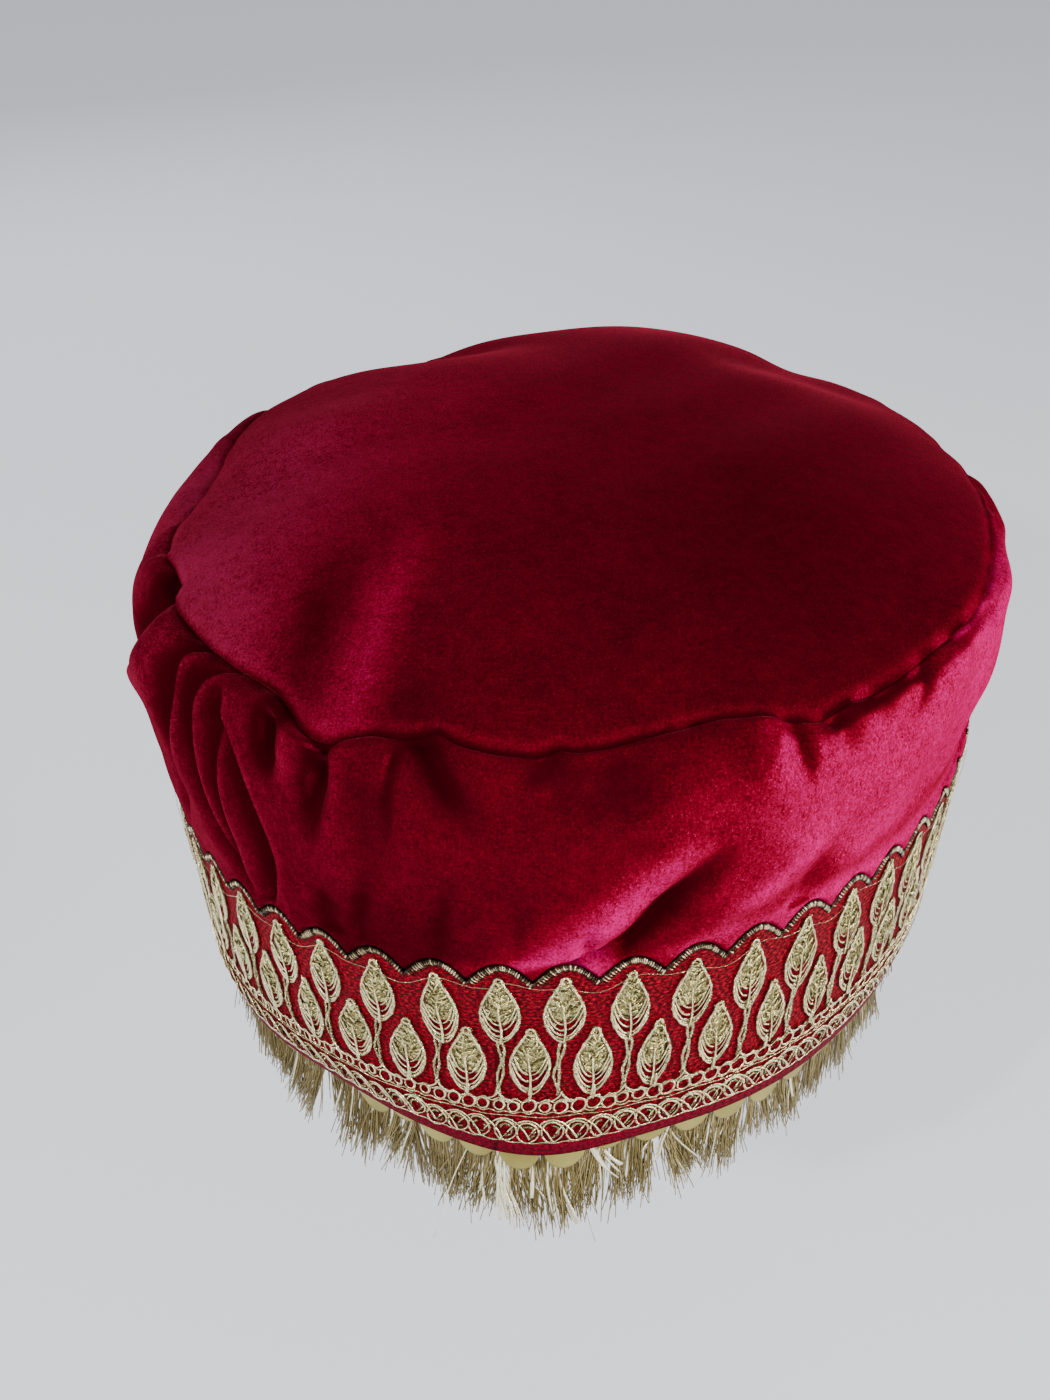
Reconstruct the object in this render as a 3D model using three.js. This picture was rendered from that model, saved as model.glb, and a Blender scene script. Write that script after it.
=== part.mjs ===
// A soft velvet cap: a round top panel, a gathered side panel that swells over its trim,
// an embroidered band with a scalloped edge, a row of small metal discs and a thread fringe.
// Millimetres. +Z is up, -Y is the front and +X is the right of the cap as seen from the front.
// The origin is the middle of the head opening, level with the band's lower edge.
import * as THREE from "three";

// Driving sizes
const VELVET = 1.6; // wall of the velvet panels
const TRIM = 1.5; // wall of the embroidered band
const GAP = 0.35; // air between two pieces that touch on the real cap
const FACET_ROOM = 0.12; // extra air where flat facets meet a curved wall
const BAND_HEIGHT = 37.6;
const SCALLOPS = 49;
const SCALLOP_DEPTH = 3.6;
const DOME_RISE = 16; // the top panel's middle above its seam
const DOME_POWER = 3; // 2 is a bowl, more is flatter in the middle
const DISCS = 64;
const DISC_RADIUS = 4.2;
const DISC_WALL = 0.6;
const DISC_DROP = 0.5; // a disc's middle below the band's lower edge
const TAPE_TOP = 5; // the tapes inside the band reach this high
const DISC_REACH = DISC_RADIUS + DISC_DROP + 0.6; // below this the fringe is clear of the discs
const LOCKS = 48;
const FRINGE_WALL = 1.2;
const FRINGE_LENGTH = 16; // mean length below the band
const FRINGE_SPREAD = 2.5; // how much the locks differ in length
const FRINGE_NOTCH = 11; // where two locks part
const FRINGE_FLARE = 6; // how far a lock swings outwards over its length

// Oval sections of the outside, from the lower edge up. front and back are half depths, shift is along X,
// and tilt is the rise along X: the band sits a little higher on its right.
const BAND_SECTIONS = [
  { name: "rim", z: 0, halfWidth: 76.5, front: 99.5, back: 95, shift: 2.4, tilt: 0.022 },
  { name: "band_top", z: BAND_HEIGHT, halfWidth: 83, front: 96, back: 95, shift: 2.2, tilt: 0.065 },
];
const SIDE_SECTIONS = [
  { name: "tuck", z: 25.6, halfWidth: 78.9, front: 94.8, back: 92.8, shift: 2.2, tilt: 0.05 },
  { name: "lip", z: 38.1, halfWidth: 80.8, front: 93.8, back: 92.8, shift: 2.2, tilt: 0.065 },
  { name: "swell", z: 47, halfWidth: 85.2, front: 98, back: 97, shift: 2.1, tilt: 0.045 },
  { name: "belly", z: 60, halfWidth: 88.4, front: 100.5, back: 101, shift: 2.2, tilt: 0.02 },
  { name: "shoulder", z: 71.5, halfWidth: 88.4, front: 99.7, back: 101, shift: 2.5, tilt: 0.01 },
  { name: "brow", z: 78, halfWidth: 86.6, front: 97, back: 98.6, shift: 2.6, tilt: 0 },
  { name: "seam", z: 80, halfWidth: 83.2, front: 93, back: 95.5, shift: 2.6, tilt: 0 },
];

// Where the seam leaves its oval: out is along the oval's normal, up is along Z.
// Angles are in degrees from the front.
const SEAM_WAVES = [
  { azimuth: -90, width: 17, out: -7, up: -1 },
  { azimuth: -62, width: 6, out: -2, up: 2 },
  { azimuth: -24, width: 7, out: 5, up: -2.6 },
  { azimuth: 2, width: 8, out: 2, up: -0.8 },
  { azimuth: 24, width: 9, out: -2.4, up: 1.2 },
  { azimuth: 36, width: 4, out: 1.6, up: -1.6 },
  { azimuth: 46, width: 7, out: 1.5, up: -0.4 },
  { azimuth: 70, width: 10, out: -1.2, up: 0.6 },
  { azimuth: 104, width: 14, out: -2, up: -1 },
  { azimuth: 176, width: 16, out: 2, up: 1.5 },
  { azimuth: -142, width: 12, out: -3, up: -2.5 },
];

// Folds of the side panel. depth is inwards, lean is how far a fold moves round on its way
// from the seam to the band, and from and to are heights, 0 at the band and 1 at the seam.
const SIDE_FOLDS = [
  { azimuth: -53, width: 5, depth: -1.8, lean: -12, from: 0.3, to: 0.95 },
  { azimuth: -56, width: 3.4, depth: 3.6, lean: -26, from: 0.2, to: 1.05 },
  { azimuth: -50, width: 2.8, depth: 3.2, lean: 14, from: 0, to: 1.05 },
  { azimuth: -43.5, width: 2.8, depth: 3, lean: 8, from: -0.1, to: 1 },
  { azimuth: -36, width: 2.8, depth: 2.8, lean: 4, from: -0.1, to: 0.75 },
  { azimuth: -28.5, width: 4, depth: 5.5, lean: 0, from: 0.56, to: 1.1 },
  { azimuth: -20.5, width: 3.2, depth: 3.8, lean: -5, from: 0.36, to: 1.1 },
  { azimuth: -16, width: 3.2, depth: 1.4, lean: 0, from: 0.25, to: 0.7 },
  { azimuth: -9, width: 3.2, depth: 3.2, lean: 8, from: 0.48, to: 1.1 },
  { azimuth: 4.5, width: 3, depth: 1.8, lean: -3, from: 0.66, to: 1.1 },
  { azimuth: 12, width: 6, depth: 1.2, lean: 0, from: 0.5, to: 0.95 },
  { azimuth: 31.5, width: 2.8, depth: -1.8, lean: -5, from: 0.5, to: 1.1 },
  { azimuth: 35.4, width: 2.8, depth: 3.6, lean: -6.5, from: 0.5, to: 1.1 },
  { azimuth: 37, width: 3, depth: 2.4, lean: 8.5, from: 0.4, to: 1 },
  { azimuth: 45, width: 3.4, depth: 3, lean: -3, from: 0.6, to: 1.1 },
  { azimuth: 53, width: 3.4, depth: 1.8, lean: -7, from: 0.5, to: 1 },
  { azimuth: 61, width: 3.6, depth: 2.8, lean: -10, from: 0.45, to: 1.1 },
  { azimuth: 70, width: 4, depth: 1.8, lean: -6, from: 0.55, to: 1.1 },
  { azimuth: 34, width: 3.6, depth: -1.6, lean: -28, from: 0.05, to: 0.52 },
  { azimuth: 42, width: 4.2, depth: 5.2, lean: -28, from: -0.1, to: 0.54 },
  { azimuth: 52, width: 4, depth: -1.8, lean: -27, from: 0.05, to: 0.46 },
  { azimuth: 44, width: 2.6, depth: 1.6, lean: -8, from: -0.1, to: 0.3 },
  { azimuth: -23, width: 2.6, depth: 1.4, lean: 0, from: -0.1, to: 0.24 },
  { azimuth: -13, width: 2.6, depth: 1.4, lean: 3, from: -0.1, to: 0.22 },
  { azimuth: -5, width: 2.4, depth: 1, lean: 3, from: -0.1, to: 0.2 },
];
// Plain gathers carry on round the back, between these two angles.
const BACK_GATHERS = {
  first: 84,
  last: 262,
  count: 12,
  width: 4.4,
  depth: 2.4,
  lean: 5,
  from: 0.45,
  to: 1.1,
};

// Soft dents and swellings of the top panel: along the ray at azimuth,
// reach is the share of the way to the seam.
const TOP_DENTS = [
  { azimuth: -40, reach: 0.62, long: 46, wide: 15, turn: 38, rise: 2.2 },
  { azimuth: -8, reach: 0.62, long: 40, wide: 16, turn: 34, rise: -1.8 },
  { azimuth: -74, reach: 0.6, long: 34, wide: 15, turn: 20, rise: -2 },
  { azimuth: -96, reach: 0.86, long: 30, wide: 12, turn: 0, rise: 2 },
  { azimuth: -143, reach: 0.84, long: 11, wide: 22, turn: -53, rise: -3.4 },
  { azimuth: 134, reach: 0.86, long: 11, wide: 22, turn: 44, rise: -2.6 },
  { azimuth: 172, reach: 0.76, long: 36, wide: 20, turn: 0, rise: 2.6 },
  { azimuth: 45, reach: 0.7, long: 34, wide: 14, turn: -40, rise: -1.4 },
];

// The band's lower part swings out or in here. The weight falls away upwards.
const RIM_SWINGS = [
  { azimuth: 4, width: 12, out: 2.4, drop: 1.4 },
  { azimuth: -27, width: 13, out: -2.4, drop: 0 },
  { azimuth: 36, width: 16, out: 0.8, drop: 0 },
];

const SIDE_COLUMNS = 108;
const SIDE_ROWS = [-1, 0, 0.2, 0.42, 0.62, 0.8, 0.92, 1];
const TOP_RINGS = [1, 0.95, 0.82, 0.6, 0.34];
const BAND_ROWS = [0, 0.22, 1];
const COLUMNS_PER_SCALLOP = 4;
const DISC_COLUMNS = 4;
const LOCK_COLUMNS = 3;

const toRadians = THREE.MathUtils.degToRad;
const smoothstep = THREE.MathUtils.smoothstep;

// The shortest angle from one azimuth to another, in degrees
function turnBetween(from, to) {
  return ((((to - from) % 360) + 540) % 360) - 180;
}

// A bell curve that is 1 at azimuth and falls away over width degrees
function bell(azimuth, row) {
  const turn = turnBetween(row.azimuth, azimuth) / row.width;
  return Math.exp(-turn * turn);
}

// A section of the outside between the rows of a table: place counts rows, and a cubic joins them smoothly.
function sectionAt(table, place) {
  const last = table.length - 1;
  const index = Math.min(Math.max(Math.floor(place), 0), last - 1);
  const share = place - index;
  const row = (k) => table[Math.min(Math.max(k, 0), last)];
  const made = {};
  for (const key of ["z", "halfWidth", "front", "back", "shift", "tilt"]) {
    const [p0, p1, p2, p3] = [index - 1, index, index + 1, index + 2].map((k) => row(k)[key]);
    const bend = 2 * p0 - 5 * p1 + 4 * p2 - p3;
    const twist = 3 * p1 - p0 - 3 * p2 + p3;
    made[key] = p1 + 0.5 * share * (p2 - p0 + share * (bend + share * twist));
  }
  return made;
}

// A point of an oval section, with the oval's outward normal
function ovalPoint(section, azimuth) {
  const angle = toRadians(azimuth);
  const depth = Math.cos(angle) > 0 ? section.front : section.back;
  const across = Math.sin(angle);
  const along = -Math.cos(angle);
  const x = section.shift + section.halfWidth * across;
  const point = new THREE.Vector3(x, depth * along, section.z + section.tilt * x);
  const normal = new THREE.Vector3(across / section.halfWidth, along / depth, 0).normalize();
  return { point, normal };
}

// Sums one column of a table of bells at an azimuth
function sumOf(table, column, azimuth) {
  return table.reduce((sum, row) => sum + row[column] * bell(azimuth, row), 0);
}

// How far the side panel's folds move it inwards,
// at an azimuth and a height from the band (0) to the seam (1)
function foldDepth(azimuth, height) {
  const { first, last, count } = BACK_GATHERS;
  const gathers = Array.from({ length: count }, (_, k) => ({
    ...BACK_GATHERS,
    azimuth: first + ((last - first) * k) / (count - 1),
  }));
  return [...SIDE_FOLDS, ...gathers].reduce((sum, fold) => {
    const azimuthHere = fold.azimuth + fold.lean * (1 - height);
    const ends = (fold.to - fold.from) * 0.35;
    const rise = smoothstep(height, fold.from, fold.from + ends);
    const fall = 1 - smoothstep(height, fold.to - ends, fold.to);
    return sum + fold.depth * rise * fall * bell(azimuth, { ...fold, azimuth: azimuthHere });
  }, 0);
}

// The side panel: height is -1 at its hidden lower edge, 0 where it leaves the band and 1 at the seam.
// inset moves a point inwards through the wall.
function sidePoint(azimuth, height, inset) {
  const seamRow = SIDE_SECTIONS.length - 1;
  const place = height < 0 ? height + 1 : 1 + height * (seamRow - 1);
  const { point, normal } = ovalPoint(sectionAt(SIDE_SECTIONS, place), azimuth);
  const nearSeam = smoothstep(height, 0.45, 1);
  const leans = normal.clone().multiplyScalar(1 - 0.45 * nearSeam);
  leans.z = nearSeam * 0.84;
  leans.normalize();
  point.addScaledVector(normal, sumOf(SEAM_WAVES, "out", azimuth) * nearSeam);
  point.z += sumOf(SEAM_WAVES, "up", azimuth) * nearSeam;
  return point.addScaledVector(leans, -inset - foldDepth(azimuth, height) * foldShare(height));
}

// Folds fade out behind the band and just below the seam, so that both edges stay where they are sewn.
function foldShare(height) {
  return smoothstep(height, -0.12, 0.04) * (1 - 0.75 * smoothstep(height, 0.86, 1));
}

// The top panel: reach is 0 in the middle and 1 at the seam.
function topPoint(azimuth, reach, inset) {
  const edge = sidePoint(azimuth, 1, 0);
  const seam = SIDE_SECTIONS.at(-1);
  const middle = new THREE.Vector3(seam.shift, 0, seam.z);
  const plain = ovalPoint(seam, azimuth).point;
  const point = middle.clone().lerp(plain, reach);
  point.addScaledVector(edge.sub(plain), reach ** 6);
  point.z += DOME_RISE * (1 - reach ** DOME_POWER);
  for (const dent of TOP_DENTS) {
    const centre = middle.clone().lerp(ovalPoint(seam, dent.azimuth).point, dent.reach);
    const angle = toRadians(dent.azimuth + dent.turn);
    const away = point.clone().sub(centre);
    const along = (away.x * Math.sin(angle) - away.y * Math.cos(angle)) / dent.long;
    const across = (away.x * Math.cos(angle) + away.y * Math.sin(angle)) / dent.wide;
    point.z += dent.rise * Math.exp(-along * along - across * across) * (1 - reach ** 6);
  }
  const outwards = ovalPoint(seam, azimuth).normal.multiplyScalar(0.55 * reach ** 3);
  outwards.z = 0.84;
  return point.addScaledVector(outwards.normalize(), -inset);
}

// The band: height is 0 at its lower edge and 1 at the scallops. inset moves a point inwards from its face.
function bandPoint(azimuth, height, inset) {
  const { point, normal } = ovalPoint(sectionAt(BAND_SECTIONS, height), azimuth);
  const low = (1 - height) ** 4;
  point.addScaledVector(normal, sumOf(RIM_SWINGS, "out", azimuth) * low - inset);
  point.z -= sumOf(RIM_SWINGS, "drop", azimuth) * low;
  return point;
}

// Azimuths at even steps round the band, so that what repeats on it keeps one pitch
function evenAzimuths(count) {
  const steps = 1440;
  const middle = sectionAt(BAND_SECTIONS, 0.5);
  const walk = [0];
  for (let k = 1; k <= steps; k++) {
    const from = ovalPoint(middle, ((k - 1) * 360) / steps).point;
    walk.push(walk[k - 1] + from.distanceTo(ovalPoint(middle, (k * 360) / steps).point));
  }
  return Array.from({ length: count }, (_, index) => {
    const wanted = (walk[steps] * index) / count;
    const k = Math.max(walk.findIndex((length) => length > wanted), 1);
    return ((k - 1 + (wanted - walk[k - 1]) / (walk[k] - walk[k - 1])) * 360) / steps;
  });
}

// A closed solid between two skins. Each skin is a list of rings of points with the same number of columns.
// Where tip is given, the two skins close over it, as on a dome. Otherwise the last rings are joined.
function wallGeometry(outer, inner, tip) {
  const columns = outer[0].length;
  const positions = [];
  const faces = [];
  const ringsOf = (skin) =>
    skin.map((ring) => {
      const start = positions.length / 3;
      ring.forEach((point) => positions.push(...point.toArray()));
      return start;
    });
  const strip = (low, high) => {
    for (let k = 0; k < columns; k++) {
      const next = (k + 1) % columns;
      faces.push(low + k, low + next, high + next, low + k, high + next, high + k);
    }
  };
  const fan = (ring, apex, outwards) => {
    const top = positions.length / 3;
    positions.push(...apex.toArray());
    for (let k = 0; k < columns; k++) {
      const next = (k + 1) % columns;
      faces.push(...(outwards ? [ring + k, ring + next, top] : [ring + next, ring + k, top]));
    }
  };
  const outside = ringsOf(outer);
  const inside = ringsOf(inner);
  for (let k = 0; k + 1 < outside.length; k++) {
    strip(outside[k], outside[k + 1]);
    strip(inside[k + 1], inside[k]);
  }
  strip(inside[0], outside[0]);
  if (tip) {
    fan(outside.at(-1), tip.outer, true);
    fan(inside.at(-1), tip.inner, false);
  } else {
    strip(outside.at(-1), inside.at(-1));
  }
  const geometry = new THREE.BufferGeometry();
  geometry.setAttribute("position", new THREE.Float32BufferAttribute(positions, 3));
  geometry.setIndex(faces);
  geometry.computeVertexNormals();
  return geometry;
}

const sideAzimuths = Array.from({ length: SIDE_COLUMNS }, (_, k) => (k * 360) / SIDE_COLUMNS);
const ringOf = (azimuths, place) => azimuths.map(place);

// The two velvet panels meet at the seam, each half a gap short of it.
function crownSide() {
  const skin = (inset) =>
    SIDE_ROWS.map((height) =>
      ringOf(sideAzimuths, (azimuth) => {
        const point = sidePoint(azimuth, height, inset);
        const short = height === 1 ? GAP / 2 : 0;
        const { normal } = ovalPoint(SIDE_SECTIONS.at(-1), azimuth);
        point.addScaledVector(normal, short);
        point.z -= short;
        return point;
      }),
    );
  return wallGeometry(skin(0), skin(VELVET));
}

function crownTop() {
  const skin = (inset) =>
    TOP_RINGS.map((reach) =>
      ringOf(sideAzimuths, (azimuth) => {
        const point = topPoint(azimuth, reach, inset);
        const short = reach === 1 ? GAP / 2 : 0;
        const { normal } = ovalPoint(SIDE_SECTIONS.at(-1), azimuth);
        point.addScaledVector(normal, -short);
        point.z += short;
        return point;
      }),
    );
  return wallGeometry(skin(0), skin(VELVET), { outer: topPoint(0, 0, 0), inner: topPoint(0, 0, VELVET) });
}

// Each scallop is round on top, and the valleys between two scallops are sharp.
function embroideredBand() {
  const columns = SCALLOPS * COLUMNS_PER_SCALLOP;
  const azimuths = evenAzimuths(columns);
  const skin = (inset) =>
    BAND_ROWS.map((height) =>
      azimuths.map((azimuth, k) => {
        const wave = Math.abs(Math.cos((Math.PI * k) / COLUMNS_PER_SCALLOP));
        const top = 1 - (SCALLOP_DEPTH / BAND_HEIGHT) * (1 - wave);
        return bandPoint(azimuth, height * top, inset);
      }),
    );
  return wallGeometry(skin(0), skin(TRIM));
}

// What hangs inside the band runs straight along the band's lowest part,
// and on below it as far as the discs reach.
// Past the discs it turns upright, and the flare swings it outwards.
function hangingPoint(azimuth, z, inset, flare) {
  const point = bandPoint(azimuth, 0, inset);
  const slope = bandPoint(azimuth, TAPE_TOP / BAND_HEIGHT, inset).sub(point).divideScalar(TAPE_TOP);
  const { normal } = ovalPoint(BAND_SECTIONS[0], azimuth);
  const pastDiscs = Math.max(-z - DISC_REACH, 0);
  point.addScaledVector(slope, z + pastDiscs);
  point.addScaledVector(normal, flare * (pastDiscs / FRINGE_LENGTH) ** 2);
  point.z -= pastDiscs;
  return point;
}

// A hanging strip with a tape at its top. edge gives the height of its lower edge,
// from the place in a repeat, and bends are heights where it may bend.
function hangingStrip(repeats, columnsPerRepeat, near, far, edge, bends, flare) {
  const columns = repeats * columnsPerRepeat;
  const azimuths = evenAzimuths(columns);
  const skin = (inset) =>
    [edge, ...bends.map((z) => () => z), () => TAPE_TOP].map((height) =>
      azimuths.map((azimuth, k) => {
        const z = height((k % columnsPerRepeat) / columnsPerRepeat, Math.floor(k / columnsPerRepeat));
        return hangingPoint(azimuth, z, inset, flare);
      }),
    );
  return wallGeometry(skin(near), skin(far));
}

// Thin round discs hang edge to edge from one tape, just inside the band.
const discsNear = TRIM + GAP + FACET_ROOM;
function discRow() {
  const edge = (place) => {
    const across = (2 * place - 1) * DISC_RADIUS;
    return -DISC_DROP - Math.sqrt(DISC_RADIUS ** 2 - across ** 2);
  };
  return hangingStrip(DISCS, DISC_COLUMNS, discsNear, discsNear + DISC_WALL, edge, [], 0);
}

// Locks of thread hang from a tape behind the discs.
// Their lengths differ a little, and their tips swing outwards.
const fringeNear = discsNear + DISC_WALL + GAP;
function threadFringe() {
  const edge = (place, lock) => {
    const length = FRINGE_LENGTH + FRINGE_SPREAD * Math.sin(lock * 2.4);
    return place === 0 ? -FRINGE_NOTCH : -length;
  };
  const far = fringeNear + FRINGE_WALL;
  return hangingStrip(LOCKS, LOCK_COLUMNS, fringeNear, far, edge, [-DISC_REACH], FRINGE_FLARE);
}

// Colours and finishes
const velvet = new THREE.MeshStandardMaterial({ color: 0x7a0a24, roughness: 0.9, metalness: 0 });
const redTrim = new THREE.MeshStandardMaterial({ color: 0xa3141f, roughness: 0.75, metalness: 0.1 });
const goldDisc = new THREE.MeshStandardMaterial({ color: 0xb5a24f, roughness: 0.4, metalness: 0.7 });
const goldThread = new THREE.MeshStandardMaterial({ color: 0xb8a878, roughness: 0.5, metalness: 0.5 });

function piece(name, geometry, material) {
  const mesh = new THREE.Mesh(geometry, material);
  mesh.name = name;
  return mesh;
}

const cap = new THREE.Group();
cap.add(
  piece("crown_top", crownTop(), velvet),
  piece("crown_side", crownSide(), velvet),
  piece("embroidered_band", embroideredBand(), redTrim),
  piece("disc_row", discRow(), goldDisc),
  piece("thread_fringe", threadFringe(), goldThread),
);

export default cap;
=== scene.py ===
import bpy
import math
import numpy as np
from mathutils import Matrix


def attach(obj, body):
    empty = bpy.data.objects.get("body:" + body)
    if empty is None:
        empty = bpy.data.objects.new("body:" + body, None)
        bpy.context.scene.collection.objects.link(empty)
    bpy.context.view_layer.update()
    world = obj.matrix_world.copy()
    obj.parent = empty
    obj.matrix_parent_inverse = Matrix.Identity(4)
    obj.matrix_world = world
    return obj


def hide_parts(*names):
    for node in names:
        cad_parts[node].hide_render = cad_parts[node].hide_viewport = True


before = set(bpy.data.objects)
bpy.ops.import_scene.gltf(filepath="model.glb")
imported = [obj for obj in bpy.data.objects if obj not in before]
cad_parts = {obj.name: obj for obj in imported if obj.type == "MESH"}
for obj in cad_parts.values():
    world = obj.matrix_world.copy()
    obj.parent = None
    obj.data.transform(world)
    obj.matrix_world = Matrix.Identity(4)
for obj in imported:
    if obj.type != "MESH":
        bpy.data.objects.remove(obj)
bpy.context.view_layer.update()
mm = 0.001
tau = 2 * np.pi

# camera: the photo's viewing angle, lengths in millimetres
view = dict(azimuth=8.0, elevation=30.6, roll=-0.3, distance=427.0, aimHeight=37.0, right=7.6, down=-3.0, lens=51.43)


# a matrix from three axes and a place
def placed(*columns):
    return Matrix([list(row) for row in np.column_stack(columns)] + [[0, 0, 0, 1]])


# the camera looks along its azimuth, down by its elevation, turned by its roll and moved back by its distance
def cameraMatrix(v):
    a, e, r = (math.radians(v[k]) for k in ("azimuth", "elevation", "roll"))
    right = np.array([math.cos(a), math.sin(a), 0])
    level = np.array([-math.sin(a), math.cos(a), 0])
    up = np.array([0, 0, 1])
    down = -(up * math.cos(e) + level * math.sin(e))
    ahead = level * math.cos(e) - up * math.sin(e)
    x = math.cos(r) * right - math.sin(r) * down
    y = math.sin(r) * right + math.cos(r) * down
    place = up * v["aimHeight"] - x * v["right"] - y * v["down"] - ahead * v["distance"]
    return placed(x, -y, -ahead, place * mm)


# a new object in the scene
def added(name, data):
    made = bpy.data.objects.new(name, data)
    bpy.context.scene.collection.objects.link(made)
    return made


camera = added("camera", bpy.data.cameras.new("camera"))
camera.data.lens = view["lens"]
camera.data.sensor_width = 36
camera.data.clip_start = 0.01
camera.matrix_world = cameraMatrix(view)
bpy.context.scene.camera = camera
print("camera set")


# a dictionary per row of numbers, read by column name
def table(columns, rows):
    return [dict(zip(columns.split(), row)) for row in rows]


# a smooth step from 0 to 1 between two values: three squares less two cubes
def smooth(x, low, high):
    t = np.clip((x - low) / (high - low), 0, 1)
    return t * t * (3 - 2 * t)


# exp of minus the angle over the width, squared, with the angle wrapped to half a turn
def bell(azimuth, centre, width):
    return np.exp(-((((azimuth - centre + 180) % 360) - 180) / width) ** 2)


# a vector over its own length
def unit(v):
    return v / np.maximum(np.linalg.norm(v, axis=-1, keepdims=True), 1e-9)


# sections of the outside in millimetres: z, half width, front and back half depth, shift along x, rise along x
bandSections = np.array([
    [0, 76.5, 99.5, 95, 2.4, 0.022],
    [37.6, 83, 96, 95, 2.2, 0.065],
])
sideSections = np.array([
    [25.6, 78.9, 94.8, 92.8, 2.2, 0.05],
    [38.1, 80.8, 93.8, 92.8, 2.2, 0.065],
    [47, 85.2, 98, 97, 2.1, 0.045],
    [60, 88.4, 100.5, 101, 2.2, 0.02],
    [71.5, 88.4, 99.7, 101, 2.5, 0.01],
    [78, 86.6, 97, 98.6, 2.6, 0],
    [80, 83.2, 93, 95.5, 2.6, 0],
])
seamWaves = table("azimuth width out up", [
    [-90, 17, -7, -1],
    [-62, 6, -2, 2],
    [-22, 5.5, 5, -2.6],
    [-13.5, 2, 0.8, -0.5],
    [-8.5, 1.6, -1.2, 0.5],
    [2, 8, 2, -0.8],
    [5.5, 1.6, -1.2, 0.6],
    [24, 9, -2.4, 1.2],
    [36, 4, 1.6, -1.6],
    [46, 7, 1.5, -0.4],
    [66, 12, 1.6, 0.4],
    [100, 15, 0, -0.2],
    [147, 7, -1, -2],
    [176, 16, 2, 1.5],
    [-142, 12, -3, -2.5],
])
sideFolds = table("azimuth left right depth lean bow start end", [
    [-53.5, 3, 6, -2.6, 27, -78, 0.05, 1.3],
    [-58.5, 4, 0.9, 5.5, 27, -78, 0.3, 1.4],
    [-43.8, 2.4, 0.7, 3.2, -9.5, 0, -0.05, 1.1],
    [-37, 2.2, 0.7, 3, -27, 28, -0.05, 1.05],
    [-39.2, 1.8, 0.7, 2.6, 2, 0, -0.1, 0.9],
    [-56.5, 2, 0.7, 2.8, 65, -41.5, -0.2, 0.75],
    [-29.6, 2, 1.6, 6, 0, 0, 0.48, 0.88],
    [-20.3, 1.6, 1.2, 4.4, -2, -4, 0.3, 1.15],
    [-16, 1.8, 2.2, 1, 0, 0, 0.25, 0.7],
    [-12.6, 0.9, 0.9, 1.2, 0, 0, 0.36, 1],
    [-10.8, 2.4, 2, 2.2, 13.5, 0, 0.44, 1.15],
    [4.5, 2.2, 2, 1.4, -3, 0, 0.66, 1.2],
    [12, 6, 6, 1.2, 0, 0, 0.5, 0.95],
    [31.5, 2.8, 2.2, -1.1, -5, 0, 0.5, 1.2],
    [33, 1.6, 0.9, 1.7, 1.2, 0, 0.52, 1.25],
    [37.5, 1.1, 2.2, 1.7, 4.4, 0, 0.5, 1.2],
    [45, 1.6, 3, 1.3, 4, 0, 0.6, 1.3],
    [53, 3, 1.4, 1.4, -7, 0, 0.5, 1.2],
    [61, 1.8, 3.4, 1.5, 6, 0, 0.5, 1.3],
    [70, 3, 1.8, 1.1, -6, 0, 0.55, 1.3],
    [34, 3.6, 3.6, -1.6, -28, 0, 0.02, 0.5],
    [10.8, 1.5, 0.9, 1.5, -1, 0, -0.1, 0.24],
    [40.5, 1.9, 2.3, 3.2, -28, 0, -0.3, 0.46],
    [52, 4, 4, -1.6, -27, 0, 0.02, 0.44],
    [44, 1.4, 2.6, 1.6, -8, 0, -0.1, 0.3],
    [-23, 1.4, 2.6, 1.4, 0, 0, -0.1, 0.24],
    [-10.4, 1.2, 1.4, 1.2, -8.5, 0, -0.1, 0.36],
    [-2.6, 1.4, 1.1, 1, -5.4, 0, -0.1, 0.4],
    [3.6, 1.2, 1.2, 0.9, -2, 0, -0.1, 0.34],
] + [[84 + 17 * k + 4 * np.sin(2.3 * k), 3.4, 2.4, 1.7 + 0.7 * np.sin(1.7 * k), 5 * np.sin(1.3 * k), 0,
      0.42 + 0.14 * np.sin(3.1 * k), 1.15] for k in range(2, 10)])
topDents = table("azimuth reach long wide turn rise", [
    [-40, 0.62, 46, 15, 38, 2.2],
    [-8, 0.62, 40, 16, 34, -1.8],
    [-74, 0.6, 34, 15, 20, -2],
    [-96, 0.86, 30, 12, 0, 2],
    [-143, 0.84, 11, 22, -53, -3.4],
    [134, 0.86, 11, 22, 44, -2.6],
    [172, 0.76, 36, 20, 0, 2.6],
    [45, 0.7, 34, 14, -40, -1.4],
])
rimSwings = table("azimuth width out drop", [
    [4, 12, 2.4, 1.4],
    [-27, 13, -2.4, 0],
    [36, 16, 0.8, 0],
])
# where the wall is drawn in: it starts and is full at two heights, then eases and ends at two more
wallPulls = table("azimuth width depth start full ease end", [
    [122, 24, 3, 0.25, 0.6, 0.9, 1],
    [82, 24, 2.6, -0.15, 0.1, 0.4, 0.8],
])
seamTuck = dict(azimuth=-42, width=20, depth=1.8, start=0.8, full=0.98)
seamPinch = dict(depth=0.8, reach=0.04)
seamTurn = dict(start=0.45, less=0.45, up=0.84)
# where the painted highlight beside each fold's sharp side sits, how wide it is and the deepest fold it follows
crestHighlightAt = dict(beside=2.1, wide=0.9, deepest=5)
dome = dict(rise=16.0, power=3.0, out=0.55, up=0.84)
topPowers = dict(waves=6, folds=24, frill=60)
bandHeight, midHeight = 37.6, 19.5


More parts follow.
